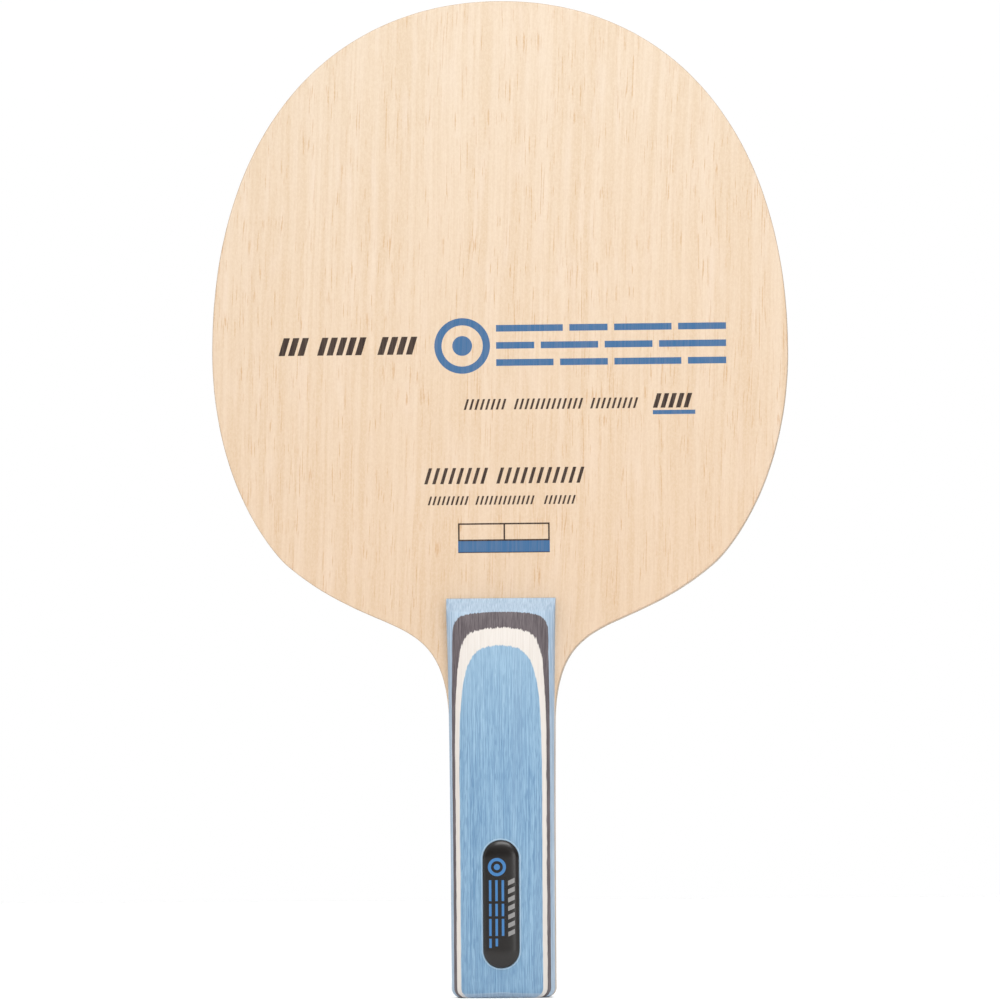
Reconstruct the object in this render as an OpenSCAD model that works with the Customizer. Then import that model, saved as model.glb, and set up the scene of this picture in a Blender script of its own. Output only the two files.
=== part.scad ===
// Table tennis blade: seven glued plies, two laminated handle halves and a domed badge.
// Millimetres. +Z runs up the handle to the tip of the head, -Y is the front, and the
// origin is the centre of the butt end, on the blade's mid-plane.

/* [Blade] */
// Length from the butt end to the tip of the head
total_l = 261; // [252:1:270]
// Length of the head, from the handle's top edge to the tip
head_l = 157; // [152:0.5:162]
// Greatest width of the head
head_w = 151; // [146:0.5:156]
// Thickness of each outer face veneer
face_t = 0.6; // [0.4:0.1:1]
// Thickness of each carbon weave ply
carbon_t = 0.2; // [0.1:0.05:0.3]
// Thickness of each inner wood veneer
inner_t = 0.6; // [0.4:0.1:1]
// Thickness of the light wood core
core_t = 3; // [2:0.1:4]

/* [Handle] */
// Width of the handle where it meets the head
grip_w_top = 28.6; // [27:0.1:30]
// Width of the handle at the butt end
grip_w_butt = 27; // [26:0.1:28.6]
// Height of one handle half above the face veneer
grip_h = 8.2; // [7.6:0.1:9]
// Thickness of the dyed wood next to the blade
base_t = 4; // [3.4:0.1:4.4]
// Thickness of the dark stripe
dark_t = 1; // [0.5:0.1:1.1]
// Thickness of the light stripe
light_t = 0.9; // [0.5:0.1:1.1]
// Length of the steep bevel at the top of the handle
bevel_run = 3.7; // [2:0.1:5]
// Length over which the handle rises from the top edge to its full height
ramp_run = 52; // [35:1:60]
// Corner radius of the butt end, seen from the front
butt_corner = 2.6; // [1.5:0.1:4]
// Chamfer round the edge of the butt end
butt_chamfer = 1.3; // [0.5:0.1:1.8]

/* [Badge] */
// Width of the badge
badge_w = 9.3; // [8:0.1:11]
// Length of the badge, round ends included
badge_l = 33; // [24:0.5:36]
// Height of the badge's centre above the butt end
badge_z = 24.3; // [22:0.1:40]
// Thickness of the badge's backing plate
plate_t = 0.8; // [0.5:0.1:1]
// Rise of the clear dome above the plate
dome_h = 0.9; // [0.6:0.1:1.4]

/* [Hidden] */

// Blade, from the mid-plane outwards
core_y = core_t / 2;
inner_y = core_y + inner_t;
carbon_y = inner_y + carbon_t;
face_y = carbon_y + face_t;
half_head = head_w / 2;
handle_l = total_l - head_l;
widest_z = handle_l + 65;
shoulder = [56, handle_l + 9];
neck_end_z = handle_l - 35;
outline_steps = 28;
tang_steps = 8;

// Handle halves, as heights above the face veneer
seat_d = 0.05;              // glue seat sunk into the face veneer under the handle
seat_z = neck_end_z + 3;    // below this the seat runs out to both edges of the blade
lip_h = 0.3;                // blunt edge at the foot of the top bevel
dark_h = base_t;
light_h = dark_h + dark_t;
crown_h = light_h + light_t;
ramp_power = 3;             // how early the ramp gains its height
flare_power = 3;            // how late the grip widens towards the head
side_exp = 2.25;            // squareness of the grip's cross-section towards its sides
rise_exp = 2.7;             // and towards its front and rear
end_exp = 20;               // how much squarer that gets at the top edge
end_fade = 4.45;            // length over which the extra squareness fades
end_dome = 0.05;            // how far the sanded butt end bulges
ring_steps = 30;
ring_power = 4;             // packs a ring's points towards the rounded top end
corner_steps = 6;
foot_steps = 4;

// Badge
pocket_d = 0.6;
pocket_gap = 0.15;
adhesive_t = 0.15;
pocket_h = grip_h - pocket_d;
plate_h = pocket_h + adhesive_t;
dome_base_h = plate_h + plate_t;
fine = 72;
dome_fine = 240;

face_c = [0.96, 0.88, 0.76];
inner_c = [0.86, 0.74, 0.58];
core_c = [0.92, 0.84, 0.70];
carbon_c = [0.13, 0.13, 0.14];
base_c = [0.66, 0.76, 0.86];
dark_c = [0.36, 0.32, 0.33];
light_c = [0.96, 0.94, 0.90];
crown_c = [0.56, 0.71, 0.86];

// ---- blade outline -------------------------------------------------------

function bezier(p, n) = [
    for (i = [0 : n - 1])
        let (t = i / n, s = 1 - t)
            s * s * s * p[0] + 3 * s * s * t * p[1] + 3 * s * t * t * p[2] + t * t * t * p[3]
];
function mirrored(points) = [for (i = [len(points) - 1 : -1 : 0]) [-points[i][0], points[i][1]]];

// The grip is nearly parallel and flares a little towards the head
function grip_half_w(z) =
    (grip_w_butt + (grip_w_top - grip_w_butt) * pow(max(0, z) / handle_l, flare_power)) / 2;

// Round corner at the butt end, from the flat end up to the straight side
function butt_arc(half_w, foot_z, radius) = [
    for (i = [0 : corner_steps])
        let (a = 90 * i / corner_steps)
            [half_w - radius + radius * sin(a), foot_z + radius - radius * cos(a)]
];

head_curve = [
    [0, total_l], [44.5, total_l], [half_head, total_l - 34], [half_head, widest_z]
];
shoulder_curve = [
    [half_head, widest_z], [half_head, widest_z - 34.5], shoulder + [3.6, 3.1], shoulder
];
neck_curve = [
    shoulder, shoulder - [24.5, 21.1],
    [grip_half_w(neck_end_z), handle_l - 1], [grip_half_w(neck_end_z), neck_end_z]
];

// Right half of the blade from the tip down to the butt end
right_edge = concat(
    bezier(head_curve, outline_steps),
    bezier(shoulder_curve, outline_steps),
    bezier(neck_curve, outline_steps),
    [for (i = [0 : tang_steps - 1])
        let (z = neck_end_z + (butt_corner - neck_end_z) * i / tang_steps) [grip_half_w(z), z]],
    [for (i = [corner_steps : -1 : 0])
        butt_arc(grip_half_w(butt_corner), 0, butt_corner)[i]]
);

module blade_outline() {
    polygon(concat(right_edge, mirrored([for (i = [1 : len(right_edge) - 1]) right_edge[i]])));
}

// A plate standing in the X-Z plane between two distances from the mid-plane;
// side is -1 for the front and 1 for the rear
module plate_between(side, near_y, far_y) {
    translate([0, side < 0 ? -near_y : far_y, 0])
        rotate([90, 0, 0])
            linear_extrude(far_y - near_y) children();
}

module ply(side, near_y, far_y) {
    plate_between(side, near_y, far_y) blade_outline();
}

// Foot of the handle half, widened below the neck, where it covers the blade's full width
seat_edge = [
    [grip_half_w(handle_l), handle_l], [grip_half_w(seat_z), seat_z],
    [grip_w_top, seat_z], [grip_w_top, -1]
];

// The outer veneer, with a shallow glue seat for its handle half
module face_ply(side) {
    color(face_c) difference() {
        ply(side, carbon_y, face_y);
        plate_between(side, face_y - seat_d, face_y + 1)
            polygon(concat(seat_edge, mirrored(seat_edge)));
    }
}

module face_ply_front() { face_ply(-1); }
module carbon_ply_front() { color(carbon_c) ply(-1, inner_y, carbon_y); }
module inner_ply_front() { color(inner_c) ply(-1, core_y, inner_y); }
module core_ply() { color(core_c) ply(-1, -core_y, core_y); }
module inner_ply_rear() { color(inner_c) ply(1, core_y, inner_y); }
module carbon_ply_rear() { color(carbon_c) ply(1, inner_y, carbon_y); }
module face_ply_rear() { face_ply(1); }

// ---- handle halves -------------------------------------------------------
// run is the distance down from the handle's top edge, h the height above the face veneer.

// Height of the handle's centre line: a steep bevel, then a long rise to full height
function spine_h(run) =
    run < bevel_run ? lip_h + (base_t - lip_h) * run / bevel_run
    : grip_h - (grip_h - base_t) * pow(max(0, ramp_run - run) / (ramp_run - bevel_run), ramp_power);

// Where the centre line reaches a height
function run_at(h) =
    h <= lip_h ? 0
    : h < base_t ? bevel_run * (h - lip_h) / (base_t - lip_h)
    : ramp_run - (ramp_run - bevel_run) * pow((grip_h - h) / (grip_h - base_t), 1 / ramp_power);

function section_exp(run) = rise_exp + end_exp * exp(-run / end_fade);

// Half-width of the handle at a height: a superellipse that is squarer near the top edge
function side_x(h, run) =
    let (ratio = min(1, max(0, h) / spine_h(run)))
        grip_half_w(handle_l - run) * pow(1 - pow(ratio, section_exp(run)), 1 / side_exp);

// Foot of the chamfered, slightly domed butt end at a height and a distance from the middle
function foot_z(h, x) =
    let (
        ratio = x / grip_half_w(0),
        fall = pow(1 - pow(ratio, side_exp), 1 / section_exp(handle_l))
    )
    end_dome * ratio * ratio + max(0, h / fall - (grip_h - butt_chamfer));

// Outline of the handle half at one height, counter-clockwise in the X-Z plane
function half_ring(h) =
    let (
        top_run = run_at(h),
        corner_x = side_x(h, handle_l - butt_corner),
        radius = min(butt_corner, 0.7 * corner_x),
        inner_x = corner_x - radius,
        foot = foot_z(h, inner_x),
        corner_run = handle_l - foot - radius
    )
    concat(
        [for (i = [0 : foot_steps - 1]) let (x = inner_x * i / foot_steps) [x, foot_z(h, x)]],
        butt_arc(corner_x, foot, radius),
        [for (i = [1 : ring_steps])
            let (t = 1 - i / ring_steps, run = top_run + (corner_run - top_run) * pow(t, ring_power))
                [i == ring_steps ? 0 : side_x(h, run), handle_l - run]]
    );
function grip_ring(h) =
    let (half = half_ring(h))
        concat(half, mirrored([for (i = [1 : len(half) - 2]) half[i]]));

// Heights of the rings in the crown, closing in on its rounded top
crown_rings = concat(
    [crown_h, grip_h - butt_chamfer],
    [for (i = [6 : -1 : 1]) grip_h * pow(1 - pow(i / 10, side_exp), 1 / rise_exp)]
);

// Solid skinned through the handle's outlines at a list of heights
module lamination(side, heights) {
    rings = [for (h = heights) grip_ring(h)];
    count = len(rings[0]);
    points = [
        for (k = [0 : len(heights) - 1], p = rings[k]) [p[0], -face_y - heights[k], p[1]]
    ];
    walls = [
        for (k = [0 : len(heights) - 2], i = [0 : count - 1])
            let (a = k * count + i, b = k * count + (i + 1) % count)
                each [[a, a + count, b + count], [a, b + count, b]]
    ];
    inner_cap = [for (i = [0 : count - 1]) i];
    outer_cap = [for (i = [count - 1 : -1 : 0]) (len(heights) - 1) * count + i];
    mirror([0, side > 0 ? 1 : 0, 0])
        polyhedron(points, concat(walls, [inner_cap, outer_cap]), convexity = 4);
}

module handle_base(side) {
    color(base_c)
        lamination(side, [-seat_d, 0, lip_h, 1.2, 2.1, 3.1, base_t]);
}
module dark_stripe(side) {
    color(dark_c) lamination(side, [dark_h, (dark_h + light_h) / 2, light_h]);
}
module light_stripe(side) {
    color(light_c) lamination(side, [light_h, (light_h + crown_h) / 2, crown_h]);
}
module handle_crown(side) {
    color(crown_c) lamination(side, crown_rings);
}

module front_handle_base() { handle_base(-1); }
module front_handle_dark_stripe() { dark_stripe(-1); }
module front_handle_light_stripe() { light_stripe(-1); }
module front_handle_crown() {
    color(crown_c) difference() {
        handle_crown(-1);
        plate_between(-1, face_y + pocket_h, face_y + grip_h + 2)
            stadium(badge_w + 2 * pocket_gap, badge_l + 2 * pocket_gap);
    }
}
module rear_handle_base() { handle_base(1); }
module rear_handle_dark_stripe() { dark_stripe(1); }
module rear_handle_light_stripe() { light_stripe(1); }
module rear_handle_crown() { handle_crown(1); }

// ---- badge ---------------------------------------------------------------

// Slot shape with round ends, centred on the badge's place
module stadium(w, l) {
    straight = l - w;
    translate([0, badge_z]) {
        square([w, straight], center = true);
        for (s = [-1, 1]) translate([0, s * straight / 2]) circle(d = w, $fn = fine);
    }
}

module badge_adhesive() {
    color([0.85, 0.85, 0.82])
        plate_between(-1, face_y + pocket_h, face_y + plate_h)
            stadium(badge_w - 0.4, badge_l - 0.4);
}

module badge_plate() {
    color([0.18, 0.15, 0.13])
        plate_between(-1, face_y + plate_h, face_y + dome_base_h) stadium(badge_w, badge_l);
}

// Cylinder segment between two ball segments, all of one radius
module badge_dome() {
    straight = badge_l - badge_w;
    dome_r = (badge_w * badge_w / 4 + dome_h * dome_h) / (2 * dome_h);
    color([0.12, 0.10, 0.09])
        translate([0, -face_y - dome_base_h, badge_z])
            rotate([90, 0, 0])
                intersection() {
                    translate([0, 0, dome_h - dome_r]) {
                        rotate([90, 0, 0])
                            cylinder(r = dome_r, h = straight, center = true, $fn = dome_fine);
                        for (s = [-1, 1])
                            translate([0, s * straight / 2, 0])
                                sphere(r = dome_r, $fn = dome_fine);
                    }
                    translate([0, -badge_z, 0]) linear_extrude(dome_h + 1)
                        stadium(badge_w, badge_l);
                }
}

face_ply_front();
carbon_ply_front();
inner_ply_front();
core_ply();
inner_ply_rear();
carbon_ply_rear();
face_ply_rear();
front_handle_base();
front_handle_dark_stripe();
front_handle_light_stripe();
front_handle_crown();
rear_handle_base();
rear_handle_dark_stripe();
rear_handle_light_stripe();
rear_handle_crown();
badge_adhesive();
badge_plate();
badge_dome();
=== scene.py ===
"""Looks for a bare table tennis blade: seven wood and carbon plies, two laminated handle halves
and a domed badge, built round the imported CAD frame. Lengths in the code are in millimetres and
are turned into metres where a mesh or light is made."""
import math

import bpy
import numpy as np
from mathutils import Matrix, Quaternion, Vector


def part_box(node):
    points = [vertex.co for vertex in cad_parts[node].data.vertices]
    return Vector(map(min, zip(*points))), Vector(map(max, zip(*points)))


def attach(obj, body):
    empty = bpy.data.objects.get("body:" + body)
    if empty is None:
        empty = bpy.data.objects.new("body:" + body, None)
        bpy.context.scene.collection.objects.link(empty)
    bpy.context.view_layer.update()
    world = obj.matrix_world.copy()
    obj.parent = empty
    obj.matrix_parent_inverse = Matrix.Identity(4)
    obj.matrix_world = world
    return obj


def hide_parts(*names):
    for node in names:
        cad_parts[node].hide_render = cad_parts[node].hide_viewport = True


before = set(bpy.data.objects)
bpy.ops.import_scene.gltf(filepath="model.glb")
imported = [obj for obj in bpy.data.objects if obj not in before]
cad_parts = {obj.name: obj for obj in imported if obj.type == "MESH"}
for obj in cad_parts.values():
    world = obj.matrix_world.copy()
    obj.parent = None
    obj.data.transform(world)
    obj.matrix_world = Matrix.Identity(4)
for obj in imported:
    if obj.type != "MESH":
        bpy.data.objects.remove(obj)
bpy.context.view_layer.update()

MM = 0.001

# ---------------------------------------------------------------- sizes, from the frame


def low(node):
    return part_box(node)[0] / MM


def high(node):
    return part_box(node)[1] / MM


TOTAL_L = high("core_ply").z
HALF_HEAD = high("core_ply").x
HANDLE_L = high("front_handle_base").z
CORE_Y = high("core_ply").y
INNER_Y = high("inner_ply_rear").y
CARBON_Y = high("carbon_ply_rear").y
FACE_Y = high("face_ply_rear").y
GRIP_HALF_TOP = high("rear_handle_base").x
GRIP_HALF_BUTT = 13.5
GRIP_H = high("rear_handle_crown").y - FACE_Y
DARK_H = high("rear_handle_base").y - FACE_Y
LIGHT_H = high("rear_handle_dark_stripe").y - FACE_Y
CROWN_H = high("rear_handle_light_stripe").y - FACE_Y
BADGE_LOW, BADGE_HIGH = low("badge_plate"), high("badge_plate")
BADGE_W = BADGE_HIGH.x - BADGE_LOW.x
BADGE_L = BADGE_HIGH.z - BADGE_LOW.z
BADGE_Z = (BADGE_HIGH.z + BADGE_LOW.z) / 2
DOME_FOOT_Y = high("badge_dome").y
DOME_TOP_Y = low("badge_dome").y
POCKET_Y = high("badge_adhesive").y
POCKET_GAP = 0.15
DOME_INSET = 0.08
DOME_SIDE_EXP, DOME_RISE_EXP = 2.1, 1.6

# Shape values that the frame's boxes don't hold: the same numbers as in part.scad
WIDEST_Z = HANDLE_L + 65.0
SHOULDER = (56.0, HANDLE_L + 9.0)
NECK_END_Z = HANDLE_L - 35.0
LIP_H = 0.3
BEVEL_RUN = 3.7
RAMP_RUN = 52.0
RAMP_POWER = 3.0
FLARE_POWER = 3.0
SIDE_EXP = 2.25
RISE_EXP = 2.7
END_EXP = 20.0
END_FADE = 4.45
END_DOME = 0.05
BUTT_CORNER = 2.6
BUTT_CHAMFER = 1.3

# ---------------------------------------------------------------- camera

CAM_AZIMUTH = 3.5
CAM_ELEVATION = -3.4
CAM_DISTANCE = 1.7
CAM_ROLL = -0.4
VIEW_HEIGHT = 0.2618
AIM = Vector((-0.00023, 0, TOTAL_L * MM / 2 - 0.00063))
SENSOR = 36.0


def towards(azimuth, elevation):
    """Unit vector from the blade towards a viewer or a lamp, in front at azimuth 0."""
    az, el = math.radians(azimuth), math.radians(elevation)
    return Vector((math.sin(az) * math.cos(el), -math.cos(az) * math.cos(el), math.sin(el)))


def make_camera():
    data = bpy.data.cameras.new("camera")
    camera = bpy.data.objects.new("camera", data)
    bpy.context.scene.collection.objects.link(camera)
    back = towards(CAM_AZIMUTH, CAM_ELEVATION)
    camera.location = AIM + back * CAM_DISTANCE
    camera.rotation_mode = "QUATERNION"
    level = (-back).to_track_quat("-Z", "Y")
    camera.rotation_quaternion = Quaternion(back, math.radians(CAM_ROLL)) @ level
    data.sensor_width = SENSOR
    data.lens = SENSOR * CAM_DISTANCE / VIEW_HEIGHT
    data.clip_start, data.clip_end = 0.05, 60
    bpy.context.scene.camera = camera


make_camera()

# ---------------------------------------------------------------- node helper


class Graph:
    """Shorthand for building one material's node tree. Sockets and plain numbers mix freely."""

    def __init__(self, name):
        self.material = bpy.data.materials.new(name)
        self.material.use_nodes = True
        self.tree = self.material.node_tree
        self.tree.nodes.clear()
        self.shader = self.node("ShaderNodeBsdfPrincipled")
        out = self.node("ShaderNodeOutputMaterial")
        self.tree.links.new(self.shader.outputs[0], out.inputs[0])
        coords = self.node("ShaderNodeTexCoord").outputs["Object"]
        self.mm = self.vector("MULTIPLY", coords, (1 / MM, 1 / MM, 1 / MM))
        split = self.node("ShaderNodeSeparateXYZ")
        self.put(split.inputs[0], self.mm)
        self.x, self.y, self.z = split.outputs

    def node(self, kind):
        return self.tree.nodes.new(kind)

    def put(self, socket, value):
        if isinstance(value, bpy.types.NodeSocket):
            self.tree.links.new(value, socket)
        else:
            socket.default_value = value

    def math(self, op, *values):
        n = self.node("ShaderNodeMath")
        n.operation = op
        for socket, value in zip(n.inputs, values):
            self.put(socket, value)
        return n.outputs[0]

    def add(self, *v):
        return self.math("ADD", *v)

    def sub(self, *v):
        return self.math("SUBTRACT", *v)

    def mul(self, *v):
        return self.math("MULTIPLY", *v)

    def vector(self, op, *values):
        n = self.node("ShaderNodeVectorMath")
        n.operation = op
        for socket, value in zip(n.inputs, values):
            self.put(socket, value)
        return n.outputs[0]

    def join(self, x, y, z):
        n = self.node("ShaderNodeCombineXYZ")
        for socket, value in zip(n.inputs, (x, y, z)):
            self.put(socket, value)
        return n.outputs[0]

    def noise(self, vector, detail=2.0, roughness=0.5):
        n = self.node("ShaderNodeTexNoise")
        self.put(n.inputs["Vector"], vector)
        n.inputs["Scale"].default_value = 1.0
        n.inputs["Detail"].default_value = detail
        n.inputs["Roughness"].default_value = roughness
        return n.outputs["Fac"]

    def between(self, value, start, end, smooth=True):
        """0 at start, 1 at end, and clamped outside."""
        n = self.node("ShaderNodeMapRange")
        n.interpolation_type = "SMOOTHSTEP" if smooth else "LINEAR"
        self.put(n.inputs["Value"], value)
        self.put(n.inputs["From Min"], start)
        self.put(n.inputs["From Max"], end)
        return n.outputs["Result"]

    def mix(self, share, a, b, blend="MIX"):
        n = self.node("ShaderNodeMix")
        n.data_type = "RGBA"
        n.blend_type = blend
        self.put(n.inputs[0], share)
        self.put(n.inputs[6], rgba(a))
        self.put(n.inputs[7], rgba(b))
        return n.outputs[2]

    def bump(self, height, distance, strength=1.0):
        n = self.node("ShaderNodeBump")
        n.inputs["Distance"].default_value = distance
        n.inputs["Strength"].default_value = strength
        self.put(n.inputs["Height"], height)
        self.put(self.shader.inputs["Normal"], n.outputs[0])

    def finish(self, color, roughness, specular=0.35):
        self.put(self.shader.inputs["Base Color"], color)
        self.put(self.shader.inputs["Roughness"], roughness)
        self.shader.inputs["Specular IOR Level"].default_value = specular
        return self.material


def rgba(value):
    """A colour given as display values from 0 to 255, or a socket passed through."""
    if isinstance(value, bpy.types.NodeSocket):
        return value
    return tuple(to_linear(v / 255) for v in value) + (1.0,)


def to_linear(v):
    return v / 12.92 if v <= 0.04045 else ((v + 0.055) / 1.055) ** 2.4


# ---------------------------------------------------------------- materials

# Wood grain runs up the blade, so all its noise is stretched along Z.


def grain_coords(g, wander=3.0):
    """Sideways position that drifts slowly along the grain."""
    drift = g.noise(g.join(g.mul(g.x, 0.05), g.mul(g.y, 0.05), g.mul(g.z, 0.013)), 1.0)
    return g.add(g.x, g.mul(g.sub(drift, 0.5), wander))


def streaks(g, x, across, along, detail=2.0, roughness=0.5, shift=0.0):
    """Noise stretched along the grain. It changes slowly with depth, so a sloping cut still shows
    lines along the grain."""
    return g.noise(
        g.join(g.mul(x, across), g.add(g.mul(g.y, across * 0.1), shift), g.mul(g.z, along)),
        detail, roughness)


def rectangle(g, x0, x1, z0, z1):
    """1 inside a box on the blade's face, in millimetres."""
    wide = g.math("COMPARE", g.x, (x0 + x1) / 2, abs(x1 - x0) / 2)
    tall = g.math("COMPARE", g.z, (z0 + z1) / 2, abs(z1 - z0) / 2)
    return g.mul(wide, tall)


def union_of(g, masks):
    total = masks[0]
    for mask in masks[1:]:
        total = g.math("MAXIMUM", total, mask)
    return total


# Printed marks: hatched lines, stripes, a ring and an empty two-cell box
BLUE_INK, BROWN_INK = (50, 96, 139), (42, 26, 20)
LINE_W, STRIPE_W = 0.42, 1.75
RING_X, RING_Z = -9.7, 170.2
SCALE_BOX = (-11.1, 12.9, 115.9, 123.7)
SCALE_SPLIT, SCALE_SHELF = 0.8, 119.0


def dashes(x0, x1, z0, z1, lengths, gap):
    """Boxes along a line, with lengths in proportion to the numbers given."""
    unit = (x1 - x0 - gap * (len(lengths) - 1)) / sum(lengths)
    boxes, x = [], x0
    for length in lengths:
        boxes.append((x, x + length * unit, z0, z1))
        x += length * unit + gap
    return boxes


def slanted_bars(g, along, across, span, width, lean, pitch, share):
    """A line of whole slanted bars: one every pitch over the span, each as long as the width."""
    place = g.sub(along, g.add(g.mul(across, lean), span[0] - lean * width[0]))
    bars = int((span[1] - span[0] - lean * (width[1] - width[0])) / pitch + 1 - share)
    inside = g.math("COMPARE", place, bars * pitch / 2, bars * pitch / 2 - 0.01)
    tall = g.math("COMPARE", across, (width[0] + width[1]) / 2, (width[1] - width[0]) / 2)
    phase = g.math("FRACT", g.math("DIVIDE", place, pitch))
    return g.mul(g.mul(inside, tall), g.math("LESS_THAN", phase, share))


def hatched(g, boxes, pitch, share):
    """Slanted bars inside boxes, in place of lettering."""
    return union_of(g, [slanted_bars(g, g.x, g.z, (x0, x1), (z0, z1), 0.3, pitch, share)
                        for x0, x1, z0, z1 in boxes])


def ring_mask(g, x, z, outer, inner):
    """Between two radii round a point. An inner radius below zero gives a full disc."""
    offset = g.join(g.sub(g.x, x), 0.0, g.sub(g.z, z))
    away = g.vector("LENGTH", offset).node.outputs["Value"]
    return g.mul(g.math("LESS_THAN", away, outer), g.math("GREATER_THAN", away, inner))


def brown_marks(g):
    """Rows of slanted bars, and the outline of the two-cell box."""
    wide_row = dashes(-58.0, -20.6, 168.1, 172.8, (3, 5, 4), 1.6)
    long_row = dashes(-9.4, 37.5, 153.4, 156.2, (5, 8, 6), 1.6)
    short_row = [(40.1, 51.2, 153.4, 157.2)]
    upper_row = dashes(-19.9, 22.6, 134.0, 138.2, (5, 7), 2.0)
    lower_row = dashes(-19.0, 20.6, 128.5, 130.8, (6, 9, 5), 1.4)
    rows = ((wide_row, 2.5, 0.66), (long_row, 1.4, 0.42), (short_row, 2.0, 0.6),
            (upper_row, 2.1, 0.42), (lower_row, 1.2, 0.42))
    x0, x1, z0, z1 = SCALE_BOX
    box_lines = [
        (x0, x1, z1 - LINE_W, z1),
        (x0, x1, z0, z0 + LINE_W),
        (x0, x0 + LINE_W, z0, z1),
        (x1 - LINE_W, x1, z0, z1),
        (SCALE_SPLIT, SCALE_SPLIT + LINE_W, SCALE_SHELF, z1),
        (x0, x1, SCALE_SHELF, SCALE_SHELF + LINE_W),
    ]
    return [rectangle(g, *b) for b in box_lines] + [hatched(g, *row) for row in rows]


def blue_marks(g):
    """Three segmented stripes, an underline, the band in the two-cell box and a ring with a dot."""
    x0, x1, z0, z1 = SCALE_BOX
    boxes = [(40.1, 51.2, 151.7, 152.8), (x0, x1, z0 + 0.2, SCALE_SHELF)]
    for top, lengths in ((175.6, (7, 4, 6, 5)), (171.1, (4, 6, 5, 7)), (166.6, (6, 5, 7, 4))):
        boxes += dashes(-0.8, 59.4, top - STRIPE_W, top, lengths, 1.7)
    ring = ring_mask(g, RING_X, RING_Z, 7.3, 5.4)
    dot = ring_mask(g, RING_X, RING_Z, 2.6, -1)
    return [rectangle(g, *b) for b in boxes] + [ring, dot]


def face_wood(name, printed):
    """Light face veneer with long faint bands, lighter patches and short brown pores."""
    g = Graph(name)
    x = grain_coords(g)
    x = g.add(x, g.mul(g.z, -0.035))
    bands = streaks(g, x, 0.5, 0.006, 3.0, 0.62)
    patches = streaks(g, x, 0.32, 0.04, 2.0, 0.5, 31.0)
    fibres = streaks(g, x, 2.2, 0.06, 3.0, 0.7, 7.0)
    pores = streaks(g, x, 2.9, 0.15, 0.0, 0.5, 53.0)
    zones = streaks(g, x, 0.25, 0.035, 1.0, 0.5, 71.0)
    speckle = g.noise(g.vector("MULTIPLY", g.mm, (2.6, 2.6, 1.5)), 1.0, 0.7)
    tone = g.mix(g.between(bands, 0.36, 0.64), (212, 193, 171), (206, 184, 158))
    tone = g.mix(g.mul(g.between(patches, 0.5, 0.75), 0.45), tone, (216, 199, 182))
    tone = g.mix(g.mul(g.between(fibres, 0.4, 0.72), 0.28), tone, (197, 170, 138))
    pore = g.mul(g.between(pores, 0.64, 0.75), g.between(zones, 0.34, 0.6))
    tone = g.mix(g.mul(pore, 0.6), tone, (188, 147, 103))
    tone = g.mix(g.mul(g.between(speckle, 0.35, 0.7), 0.22), tone, (225, 211, 192))
    # Partly painted shade: the veneer is multiplied darker and warmer towards the handle. Part of this
    # is the wood's own warmer tone, and part is the top light's fall-off down the face, painted in.
    warm_tone_and_shade = g.between(g.z, 240.0, 100.0, False)
    tone = g.mix(g.mul(warm_tone_and_shade, 0.55), tone, (255, 241, 228), "MULTIPLY")
    if printed:
        brown = union_of(g, brown_marks(g))
        blue = union_of(g, blue_marks(g))
        front = g.math("LESS_THAN", g.y, 0.02 - FACE_Y)
        soak = g.add(0.86, g.mul(fibres, 0.22))
        tone = g.mix(g.mul(g.mul(brown, front), soak), tone, BROWN_INK)
        tone = g.mix(g.mul(g.mul(blue, front), soak), tone, BLUE_INK)
    # The sanded edge cuts across the fibres and looks darker
    edge = g.between(g.math("ABSOLUTE", g.y), FACE_Y - 0.04, FACE_Y - 0.3)
    tone = g.mix(g.mul(edge, 0.7), tone, (158, 132, 108))
    g.bump(g.sub(g.mul(fibres, 0.6), g.mul(pore, 0.8)), 0.00003, 0.6)
    return g.finish(tone, g.add(0.42, g.mul(fibres, 0.2)))


def edge_wood(name, light, dark, along=0.10):
    """Cut edge of a ply: end grain at the head's top and long grain at its sides."""
    g = Graph(name)
    x = grain_coords(g)
    fibres = streaks(g, x, 1.8, along, 3.0, 0.6)
    bands = streaks(g, x, 0.3, 0.02, 2.0, 0.5, 19.0)
    tone = g.mix(g.between(fibres, 0.3, 0.7), light, dark)
    tone = g.mix(g.mul(bands, 0.3), tone, dark)
    g.bump(fibres, 0.00004, 0.6)
    return g.finish(tone, g.add(0.5, g.mul(fibres, 0.2)), 0.3)


def carbon_edge(name):
    """Cut edge of the resin-bonded weave: dark tows with paler fibres between them."""
    g = Graph(name)
    tows = g.noise(g.join(g.mul(g.x, 0.9), g.mul(g.y, 2.0), g.mul(g.z, 0.9)), 2.0)
    threads = g.noise(g.join(g.mul(g.x, 6.0), g.mul(g.y, 8.0), g.mul(g.z, 6.0)), 2.0)
    tone = g.mix(g.between(tows, 0.45, 0.6), (52, 50, 50), (96, 88, 70))
    tone = g.mix(g.mul(threads, 0.4), tone, (30, 29, 30))
    g.bump(threads, 0.00003, 0.5)
    return g.finish(tone, g.add(0.38, g.mul(threads, 0.25)))


def pocket_rim(g):
    """1 in a thin band round the badge, where the cut edge of the pocket shows lighter wood."""
    from_middle = g.math("ABSOLUTE", g.sub(g.z, BADGE_Z))
    beyond = g.math("MAXIMUM", g.sub(from_middle, (BADGE_L - BADGE_W) / 2), 0.0)
    away = g.vector("LENGTH", g.join(g.x, 0.0, beyond)).node.outputs["Value"]
    near = g.between(away, BADGE_W / 2 + 0.55, BADGE_W / 2 + 0.4)
    return g.mul(near, g.math("LESS_THAN", g.y, 0.0))


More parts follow.
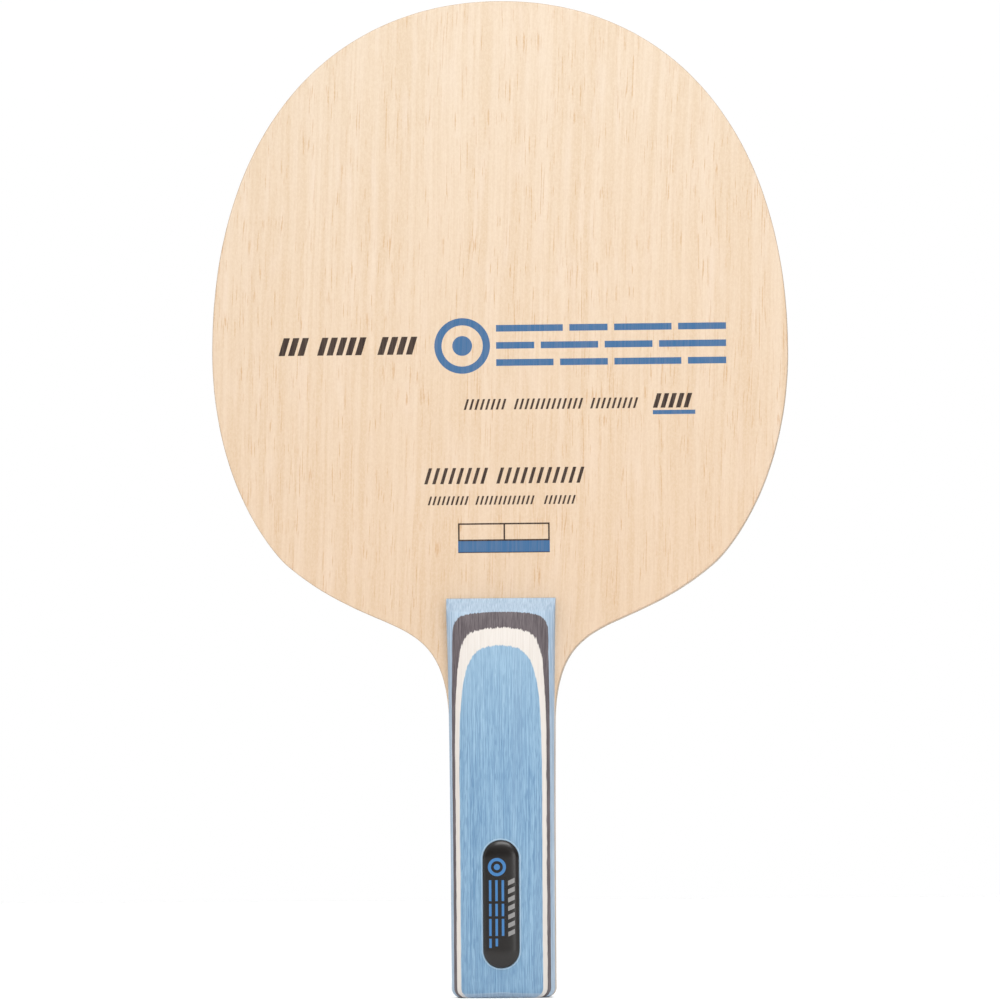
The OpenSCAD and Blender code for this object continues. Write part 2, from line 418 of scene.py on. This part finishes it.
def shaded_flanks_mask(g):
    """1 on the two long sides of the handle, meeting the bevel at its top in a mitre. The base is
    multiplied darker there as painted shade, because these sides face away from the top light.
    """
    flare = g.mul(g.math("POWER", g.math("DIVIDE", g.math("MAXIMUM", g.z, 0.0), HANDLE_L), FLARE_POWER),
                  GRIP_HALF_TOP - GRIP_HALF_BUTT)
    inwards = g.sub(g.add(flare, GRIP_HALF_BUTT), g.math("ABSOLUTE", g.x))
    below = g.sub(HANDLE_L, g.z)
    return g.mul(g.between(g.sub(below, inwards), 0.0, 0.3), g.between(inwards, 2.8, 2.0))


def handle_wood(name):
    """One graph for the four handle layers: dyed wood coloured by its depth in the lamination.
    A little noise along the grain moves the borders, which shows as ragged fibres where the
    sanded ramp cuts the thin stripes at a shallow angle, and as clean lines on the steep sides."""
    g = Graph(name)
    x = grain_coords(g, 1.2)
    fibres = streaks(g, x, 5.2, 0.12, 3.0, 0.8)
    lines = streaks(g, x, 6.5, 0.02, 1.0, 0.5, 23.0)
    pores = streaks(g, x, 5.4, 0.34, 0.0, 0.5, 47.0)
    bands = streaks(g, x, 0.4, 0.012, 2.0, 0.5, 11.0)
    teeth = streaks(g, x, 2.6, 0.14, 2.0, 0.7, 91.0)
    depth = g.sub(g.math("ABSOLUTE", g.y), FACE_Y)
    ragged = g.sub(teeth, 0.5)
    pore = g.between(pores, 0.56, 0.7)

    grain = g.add(g.mul(fibres, 0.55), g.mul(lines, 0.45))
    base = g.mix(g.between(grain, 0.34, 0.64), (181, 199, 214), (145, 166, 187))
    # Painted shade: the long sides of the base are made a little darker than the bevel, as if they were
    # turned away from the light.
    base = g.mix(shaded_flanks_mask(g), base, (243, 244, 246), "MULTIPLY")
    dark = g.mix(g.between(fibres, 0.3, 0.7), (113, 104, 107), (71, 64, 67))
    light = g.mix(g.between(grain, 0.35, 0.7), (218, 212, 206), (207, 199, 191))
    crown = g.mix(g.between(grain, 0.38, 0.6), (146, 179, 203), (101, 138, 171))
    crown = g.mix(g.mul(pore, 0.5), crown, (84, 122, 158))
    crown = g.mix(g.mul(g.between(bands, 0.45, 0.8), 0.25), crown, (138, 164, 188))
    # Painted light: the crown is painted lighter towards its top, where the ramp faces the light from
    # above.
    lit_crown_top = g.between(g.z, HANDLE_L - 45, HANDLE_L - 12, False)
    crown = g.mix(g.mul(lit_crown_top, 0.34), crown, (163, 189, 205))
    crown = g.mix(g.mul(pocket_rim(g), 0.7), crown, (176, 204, 224))

    soft = 0.025
    at_dark = g.add(depth, g.mul(ragged, 0.25))
    at_light = g.add(depth, g.mul(ragged, 0.42))
    at_crown = g.add(depth, g.mul(ragged, 0.2))
    tone = g.mix(g.between(at_dark, DARK_H - soft, DARK_H + soft), base, dark)
    tone = g.mix(g.between(at_light, LIGHT_H - soft, LIGHT_H + soft), tone, light)
    tone = g.mix(g.between(at_crown, CROWN_H - soft, CROWN_H + soft), tone, crown)

    # The butt end is cut across the grain: greyer, with fine dots
    across = g.math("POWER", g.math("DIVIDE", g.math("ABSOLUTE", g.x), GRIP_HALF_BUTT), SIDE_EXP)
    fall = g.math("POWER", g.math("MAXIMUM", g.sub(1.0, across), 0.05), 1 / RISE_EXP)
    rise = g.math("MAXIMUM", g.sub(g.math("DIVIDE", depth, fall), GRIP_H - BUTT_CHAMFER), 0.0)
    end_cut = g.between(g.sub(g.z, rise), 0.3, 0.16)
    dots = g.noise(g.vector("MULTIPLY", g.mm, (5.0, 5.0, 5.0)), 2.0, 0.7)
    tone = g.mix(g.mul(end_cut, g.add(0.25, g.mul(dots, 0.5))), tone, (166, 178, 192))
    g.bump(g.sub(g.mul(grain, 0.8), g.mul(pore, 0.4)), 0.00004, 0.6)
    return g.finish(tone, g.add(0.4, g.mul(fibres, 0.22)), 0.3)


def badge_stripes():
    """Three upright stripes under the ring, cut into segments."""
    boxes = []
    for x, foot in ((-2.75, -12.6), (-1.1, -10.9), (0.55, -9.2)):
        z = BADGE_Z + 6.2
        for length in (5.4, 3.2, 4.4, 2.4):
            bottom = max(z - length, BADGE_Z + foot)
            if z - bottom > 0.5:
                boxes.append((x - 0.32, x + 0.32, bottom, z))
            z = bottom - 0.7
    return boxes


def badge_gloss(name):
    """Dark printed face under clear resin. The blade's ring and stripes are repeated on it,
    turned a quarter, with a column of slanted grey ticks in place of lettering."""
    g = Graph(name)
    specks = g.noise(g.vector("MULTIPLY", g.mm, (3.0, 3.0, 3.0)), 3.0)
    tone = g.mix(specks, (12, 9, 7), (22, 16, 13))
    ring_x, ring_z = -0.95, BADGE_Z + 9.6
    stripes = [rectangle(g, *b) for b in badge_stripes()]
    ring = ring_mask(g, ring_x, ring_z, 2.35, 1.55)
    dot = ring_mask(g, ring_x, ring_z, 0.8, -1)
    blue = union_of(g, stripes + [ring, dot])
    ticks = slanted_bars(g, g.z, g.x, (BADGE_Z - 8.4, BADGE_Z + 8.2), (1.9, 3.6), 0.45, 2.2, 0.55)
    tone = g.mix(g.mul(blue, 0.95), tone, (62, 120, 176))
    tone = g.mix(g.mul(ticks, 0.9), tone, (140, 139, 138))
    g.shader.inputs["Coat Weight"].default_value = 1.0
    g.shader.inputs["Coat Roughness"].default_value = 0.25
    g.shader.inputs["Coat IOR"].default_value = 1.5
    return g.finish(tone, g.add(0.4, g.mul(specks, 0.15)), 0.02)


def plain_grainy(name, light, dark, scale, roughness, bump):
    g = Graph(name)
    speck = g.noise(g.vector("MULTIPLY", g.mm, (scale, scale, scale)), 3.0)
    g.bump(speck, bump, 0.5)
    return g.finish(g.mix(speck, light, dark), g.add(roughness, g.mul(speck, 0.15)))


# ---------------------------------------------------------------- meshes


def bezier(p, n):
    t = np.arange(n)[:, None] / n
    p = np.array(p, float)
    return (1 - t) ** 3 * p[0] + 3 * (1 - t) ** 2 * t * p[1] + 3 * (1 - t) * t * t * p[2] + t ** 3 * p[3]


def grip_half_w(z):
    flare = (np.maximum(0, z) / HANDLE_L) ** FLARE_POWER
    return GRIP_HALF_BUTT + (GRIP_HALF_TOP - GRIP_HALF_BUTT) * flare


def butt_arc(half_w, foot, radius, steps):
    a = np.linspace(0, math.pi / 2, steps + 1)
    return np.stack([half_w - radius + radius * np.sin(a), foot + radius - radius * np.cos(a)], 1)


def blade_outline(steps=110):
    """Closed outline of the plies in the X-Z plane, from the tip round by the right."""
    neck_x = grip_half_w(NECK_END_Z)
    x, z = SHOULDER
    head = [(0, TOTAL_L), (44.5, TOTAL_L), (HALF_HEAD, TOTAL_L - 34), (HALF_HEAD, WIDEST_Z)]
    side = [(HALF_HEAD, WIDEST_Z), (HALF_HEAD, WIDEST_Z - 34.5), (x + 3.6, z + 3.1), (x, z)]
    neck = [(x, z), (x - 24.5, z - 21.1), (neck_x, HANDLE_L - 1), (neck_x, NECK_END_Z)]
    right = np.concatenate([
        bezier(head, steps),
        bezier(side, steps),
        bezier(neck, steps),
        [(grip_half_w(z), z) for z in np.linspace(NECK_END_Z, 6, 24)],
        butt_arc(grip_half_w(BUTT_CORNER), 0, BUTT_CORNER, 12)[::-1],
    ])
    return np.concatenate([right, right[:0:-1] * (-1, 1)])


def at_depth(outline, y):
    """The points of an X-Z outline, all at one y."""
    return np.stack([outline[:, 0], np.full(len(outline), y), outline[:, 1]], 1)


def outward(outline):
    """Unit normals of a closed outline that runs clockwise seen from the front."""
    along = np.roll(outline, -1, 0) - np.roll(outline, 1, 0)
    along /= np.linalg.norm(along, axis=1)[:, None]
    return np.stack([-along[:, 1], along[:, 0]], 1)


def skin(name, rings, material, flip=False, sharp=32.0):
    """Closed solid through rings of equal length, given in millimetres."""
    count = len(rings[0])
    verts = np.concatenate(rings) * MM
    faces = []
    for k in range(len(rings) - 1):
        a = k * count
        for i in range(count):
            j = (i + 1) % count
            faces.append((a + i, a + j, a + count + j, a + count + i))
    last = (len(rings) - 1) * count
    faces.append(tuple(range(count - 1, -1, -1)))
    faces.append(tuple(range(last, last + count)))
    if flip:
        faces = [f[::-1] for f in faces]
    mesh = bpy.data.meshes.new(name)
    mesh.from_pydata(verts.tolist(), [], faces)
    return finish_mesh(name, mesh, material, sharp)


def finish_mesh(name, mesh, material, sharp=32.0):
    for polygon in mesh.polygons:
        polygon.use_smooth = True
    mesh.set_sharp_from_angle(angle=math.radians(sharp))
    mesh.materials.append(material)
    mesh.update()
    obj = bpy.data.objects.new(name, mesh)
    bpy.context.scene.collection.objects.link(obj)
    return obj


def stands_for(obj, node):
    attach(obj, "root")
    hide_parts(node)
    return obj


OUTLINE = blade_outline()
NORMALS = outward(OUTLINE)
EASE = 0.5


def smooth(t):
    t = np.clip(t, 0, 1)
    return t * t * (3 - 2 * t)


def hand_sanding():
    """Slow unevenness of the sanded edge, in millimetres, always inwards. It fades at the tang."""
    a = np.arctan2(OUTLINE[:, 0], OUTLINE[:, 1] - 170)
    wave = 0.5 + 0.22 * np.sin(17 * a + 1.3) + 0.16 * np.sin(41 * a + 0.4) + 0.12 * np.sin(89 * a)
    return 0.05 * wave * smooth((OUTLINE[:, 1] - NECK_END_Z) / 25)


def edge_inset(y, dish=0.0):
    """How far the edge stands in at a distance from the mid-plane: rounded by sanding at the two
    faces, but square where a handle half covers it."""
    rise = max(0.0, abs(y) - (FACE_Y - EASE))
    round_off = EASE - math.sqrt(max(0.0, EASE ** 2 - rise ** 2))
    free = smooth((OUTLINE[:, 1] - NECK_END_Z - 2) / 10)
    return (round_off + dish) * free + hand_sanding()


def ply(name, y0, y1, material, steps=2, dish=0.0):
    """One ply between two signed distances from the mid-plane."""
    rings = []
    for y in np.linspace(y0, y1, steps + 1):
        middle = 1 - abs(2 * (y - y0) / (y1 - y0) - 1)
        points = OUTLINE - NORMALS * edge_inset(y, dish * middle)[:, None]
        rings.append(at_depth(points, y))
    return skin(name, rings, material, flip=y1 > y0)


def spine_h(run):
    rise = np.maximum(0, RAMP_RUN - run) / (RAMP_RUN - BEVEL_RUN)
    return np.where(run < BEVEL_RUN, LIP_H + (DARK_H - LIP_H) * run / BEVEL_RUN,
                    GRIP_H - (GRIP_H - DARK_H) * rise ** RAMP_POWER)


def run_at(h):
    if h <= LIP_H:
        return 0.0
    if h < DARK_H:
        return BEVEL_RUN * (h - LIP_H) / (DARK_H - LIP_H)
    return RAMP_RUN - (RAMP_RUN - BEVEL_RUN) * ((GRIP_H - h) / (GRIP_H - DARK_H)) ** (1 / RAMP_POWER)


def side_x(h, run):
    e = RISE_EXP + END_EXP * np.exp(-run / END_FADE)
    ratio = np.minimum(1, max(0.0, h) / spine_h(run))
    return grip_half_w(HANDLE_L - run) * (1 - ratio ** e) ** (1 / SIDE_EXP)


def foot_z(h, x):
    """Chamfer at the butt end, with a slightly softened edge."""
    ratio = x / GRIP_HALF_BUTT
    fall = (1 - ratio ** SIDE_EXP) ** (1 / RISE_EXP)
    over = h / fall - (GRIP_H - BUTT_CHAMFER)
    return END_DOME * ratio * ratio + 0.5 * (over + np.sqrt(over * over + 0.02))


def grip_ring(h, steps=120, foot_steps=12):
    """Outline of a handle half at one height above the face veneer."""
    corner_x = float(side_x(h, np.array(HANDLE_L - BUTT_CORNER)))
    radius = min(BUTT_CORNER, 0.7 * corner_x)
    across = np.linspace(0, corner_x - radius, foot_steps + 1)
    foot = foot_z(h, across)
    top_run, corner_run = run_at(h), HANDLE_L - foot[-1] - radius
    t = 1 - np.arange(1, steps + 1) / steps
    run = top_run + (corner_run - top_run) * t ** 4
    x = side_x(h, run)
    x[-1] = 0
    half = np.concatenate([
        np.stack([across, foot], 1)[:-1],
        butt_arc(corner_x, foot[-1], radius, 10),
        np.stack([x, HANDLE_L - run], 1),
    ])
    return np.concatenate([half, half[-2:0:-1] * (-1, 1)])


def lamination(name, side, heights, material):
    rings = [at_depth(grip_ring(h), side * (FACE_Y + h)) for h in heights]
    return skin(name, rings, material, flip=side > 0)


def crown_heights(steps=26):
    low_s = (1 - (CROWN_H / GRIP_H) ** RISE_EXP) ** (1 / SIDE_EXP)
    shares = np.linspace(low_s, 0.03, steps)
    return [GRIP_H * (1 - s ** SIDE_EXP) ** (1 / RISE_EXP) for s in shares]


def stadium(width, length, steps=40):
    """Slot outline round the badge's centre, counter-clockwise in the X-Z plane."""
    r, straight = width / 2, (length - width) / 2
    a = np.linspace(0, math.pi, steps + 1)
    upper = np.stack([r * np.cos(a), BADGE_Z + straight + r * np.sin(a)], 1)
    lower = np.stack([-r * np.cos(a), BADGE_Z - straight - r * np.sin(a)], 1)
    return np.concatenate([upper, lower])


def stadium_rings(levels):
    """Rings of (inset from the badge's edge, y)."""
    return [at_depth(stadium(BADGE_W - 2 * inset, BADGE_L - 2 * inset), y) for inset, y in levels]


def cut(obj, cutter):
    """Takes the cutter's solid out of obj and removes the cutter."""
    modifier = obj.modifiers.new("pocket", "BOOLEAN")
    modifier.operation = "DIFFERENCE"
    modifier.solver = "EXACT"
    modifier.object = cutter
    evaluated = obj.evaluated_get(bpy.context.evaluated_depsgraph_get())
    mesh = bpy.data.meshes.new_from_object(evaluated)
    obj.modifiers.clear()
    obj.data = mesh
    mesh.set_sharp_from_angle(angle=math.radians(32))
    bpy.data.objects.remove(cutter)


# ---------------------------------------------------------------- the pieces

face_front = face_wood("front_face_veneer", printed=True)
face_rear = face_wood("rear_face_veneer", printed=False)
inner = edge_wood("inner_veneer_edge", (178, 156, 132), (140, 118, 98))
core = edge_wood("core_edge", (200, 187, 168), (168, 152, 132), 0.05)
carbon = carbon_edge("carbon_weave_edge")
handle = handle_wood("dyed_handle_lamination")

stands_for(ply("front_face_veneer", -CARBON_Y, -FACE_Y, face_front, 8), "face_ply_front")
stands_for(ply("rear_face_veneer", CARBON_Y, FACE_Y, face_rear, 8), "face_ply_rear")
stands_for(ply("front_carbon_weave", -INNER_Y, -CARBON_Y, carbon), "carbon_ply_front")
stands_for(ply("rear_carbon_weave", INNER_Y, CARBON_Y, carbon), "carbon_ply_rear")
stands_for(ply("front_inner_veneer", -CORE_Y, -INNER_Y, inner, 4, 0.03), "inner_ply_front")
stands_for(ply("rear_inner_veneer", CORE_Y, INNER_Y, inner, 4, 0.03), "inner_ply_rear")
stands_for(ply("core", -CORE_Y, CORE_Y, core, 8, 0.08), "core_ply")

BASE_HEIGHTS = [0, 0.1, 0.2, LIP_H, 0.5, 0.9, 1.4, 2.0, 2.6, 3.1, 3.5, 3.8, DARK_H]
LAYERS = (("base", "handle_base", BASE_HEIGHTS, "blue_grey_wood"),
          ("dark_stripe", "handle_dark_stripe", np.linspace(DARK_H, LIGHT_H, 5), "dark_stripe"),
          ("light_stripe", "handle_light_stripe", np.linspace(LIGHT_H, CROWN_H, 5), "cream_stripe"),
          ("crown", "handle_crown", crown_heights(), "blue_wood"))
handle_pieces = {}
for side, word in ((-1, "front"), (1, "rear")):
    for label, node, heights, slot in LAYERS:
        piece = lamination(f"{word}_grip_{label}", side, heights, handle)
        handle_pieces[word, label] = stands_for(piece, f"{word}_{node}")

pocket_levels = [(-POCKET_GAP, POCKET_Y), (-POCKET_GAP, DOME_TOP_Y - 1)]
pocket = skin("pocket_cutter", stadium_rings(pocket_levels), handle)
cut(handle_pieces["front", "crown"], pocket)

plate_levels = [(0, BADGE_HIGH.y), (0, DOME_FOOT_Y + 0.1), (DOME_INSET, DOME_FOOT_Y)]
backing = plain_grainy("badge_backing", (34, 30, 28), (48, 43, 40), 4.0, 0.35, 0.00002)
plate = skin("badge_backing", stadium_rings(plate_levels), backing)
stands_for(plate, "badge_plate")


def dome_levels(steps=22):
    """Pillow section: steep at the rim and gently curved in the middle."""
    rise, half = DOME_FOOT_Y - DOME_TOP_Y, BADGE_W / 2
    levels = []
    for u in np.sin(np.linspace(0, math.pi / 2, steps)):
        across = 1 - u * 0.985
        inset = half * (1 - across) + DOME_INSET
        levels.append((inset, DOME_FOOT_Y - rise * (1 - across ** DOME_SIDE_EXP) ** (1 / DOME_RISE_EXP)))
    return [(i, y) for i, y in levels if i < half - 0.02]


dome = skin("badge_dome", stadium_rings(dome_levels()), badge_gloss("badge_dome"), sharp=60)
stands_for(dome, "badge_dome")
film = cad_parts["badge_adhesive"]
film.data.materials.clear()
adhesive = plain_grainy("adhesive_film", (214, 212, 202), (196, 194, 184), 3.0, 0.55, 0.00002)
film.data.materials.append(adhesive)

# ---------------------------------------------------------------- studio, in metres

FLOOR_HALF = 12.0
FRONT_DOME, BACK_DOME, ZENITH_EXTRA = 0.12, 1.0, 1.1
LAMP_AIM = Vector((0, 0, 0.13))


def make_floor():
    mesh = bpy.data.meshes.new("floor")
    s = FLOOR_HALF
    mesh.from_pydata([(-s, -s, 0), (s, -s, 0), (s, s, 0), (-s, s, 0)], [], [(0, 1, 2, 3)])
    floor = bpy.data.objects.new("floor", mesh)
    bpy.context.scene.collection.objects.link(floor)
    g = Graph("pale_floor")
    speck = g.noise(g.vector("MULTIPLY", g.mm, (0.02, 0.02, 0.02)), 2.0)
    mesh.materials.append(g.finish(g.mix(speck, (249, 249, 249), (252, 252, 252)), 0.7, 0.1))


def world_range(tree, source, start_end, to_start_end):
    n = tree.nodes.new("ShaderNodeMapRange")
    n.interpolation_type = "SMOOTHSTEP"
    n.inputs["From Min"].default_value, n.inputs["From Max"].default_value = start_end
    n.inputs["To Min"].default_value, n.inputs["To Max"].default_value = to_start_end
    tree.links.new(source, n.inputs["Value"])
    return n.outputs["Result"]


def make_world():
    """White dome behind and above the blade, dimmer in front, where the softboxes do the work."""
    world = bpy.data.worlds.new("studio")
    bpy.context.scene.world = world
    world.use_nodes = True
    tree = world.node_tree
    background = tree.nodes["Background"]
    background.inputs["Color"].default_value = (1, 1, 1, 1)
    coords = tree.nodes.new("ShaderNodeTexCoord")
    split = tree.nodes.new("ShaderNodeSeparateXYZ")
    tree.links.new(coords.outputs["Generated"], split.inputs[0])
    depth = world_range(tree, split.outputs[1], (0.2, 0.7), (FRONT_DOME, BACK_DOME))
    rise = world_range(tree, split.outputs[2], (0.1, 1.0), (0.0, ZENITH_EXTRA))
    total = tree.nodes.new("ShaderNodeMath")
    tree.links.new(depth, total.inputs[0])
    tree.links.new(rise, total.inputs[1])
    tree.links.new(total.outputs[0], background.inputs["Strength"])


def softbox(name, azimuth, elevation, distance, width, height, power):
    light = bpy.data.lights.new(name, "AREA")
    light.shape = "RECTANGLE"
    light.size, light.size_y = width, height
    light.energy = power
    lamp = bpy.data.objects.new(name, light)
    bpy.context.scene.collection.objects.link(lamp)
    back = towards(azimuth, elevation)
    lamp.location = LAMP_AIM + back * distance
    lamp.rotation_mode = "QUATERNION"
    lamp.rotation_quaternion = (-back).to_track_quat("-Z", "Y")


make_floor()
make_world()
# Azimuth, elevation, distance, width, height and watts
softbox("key_above", 7, 46, 1.6, 1.2, 0.8, 15.4)
softbox("strip_left", -62, 10, 1.2, 0.16, 0.8, 0.7)
softbox("strip_right", 28, 2, 1.2, 0.24, 0.3, 0.9)
bpy.context.scene.view_settings.view_transform = "Standard"
